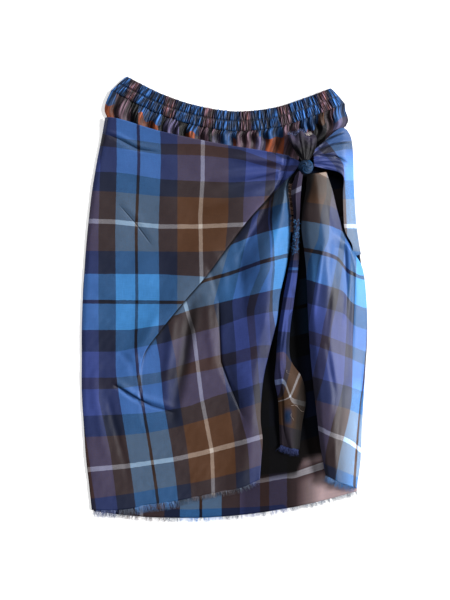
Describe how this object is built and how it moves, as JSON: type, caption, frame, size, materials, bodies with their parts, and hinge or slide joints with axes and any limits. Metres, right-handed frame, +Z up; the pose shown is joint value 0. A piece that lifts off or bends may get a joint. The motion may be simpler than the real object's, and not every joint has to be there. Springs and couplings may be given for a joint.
{
  "type": "checked wrap-tied skirt",
  "caption": "Knee-length checked skirt laid flat: shirred elastic casing, gathered yoke, and a wrapped cloth knotted at the hip with frayed hems.",
  "frame": {"origin": "centre of the bounding box's lowest plane, where the skirt lies on the surface", "axes": "+Z up from the surface, +Y from hem to waist, +X towards the side of the knot"},
  "size_m": [0.4283, 0.6685, 0.032],
  "materials": {
    "casing_cloth": "small blue and mauve check, shirred, soft sheen",
    "yoke_cloth": "small blue, mauve, orange and black check, gathered, soft sheen",
    "wrap_cloth": "large blue, purple and brown tartan check in fine plain weave, satin sheen",
    "fringe_thread": "loose frayed threads, matt"
  },
  "bodies": {
    "root": {"waistband_front": "casing_cloth", "waistband_back": "casing_cloth", "yoke_front": "yoke_cloth", "yoke_back": "yoke_cloth", "wrap_back": "wrap_cloth", "wrap_front": "wrap_cloth", "wrap_hip": "wrap_cloth", "wrap_drape": "wrap_cloth", "knot": "wrap_cloth", "knot_tail": "wrap_cloth", "knot_corner": "wrap_cloth", "fringe_back": "fringe_thread", "fringe_front": "fringe_thread", "fringe_drape": "fringe_thread", "fringe_tail_side": "fringe_thread", "fringe_tail_end": "fringe_thread", "fringe_corner": "fringe_thread"}
  },
  "joints": []
}
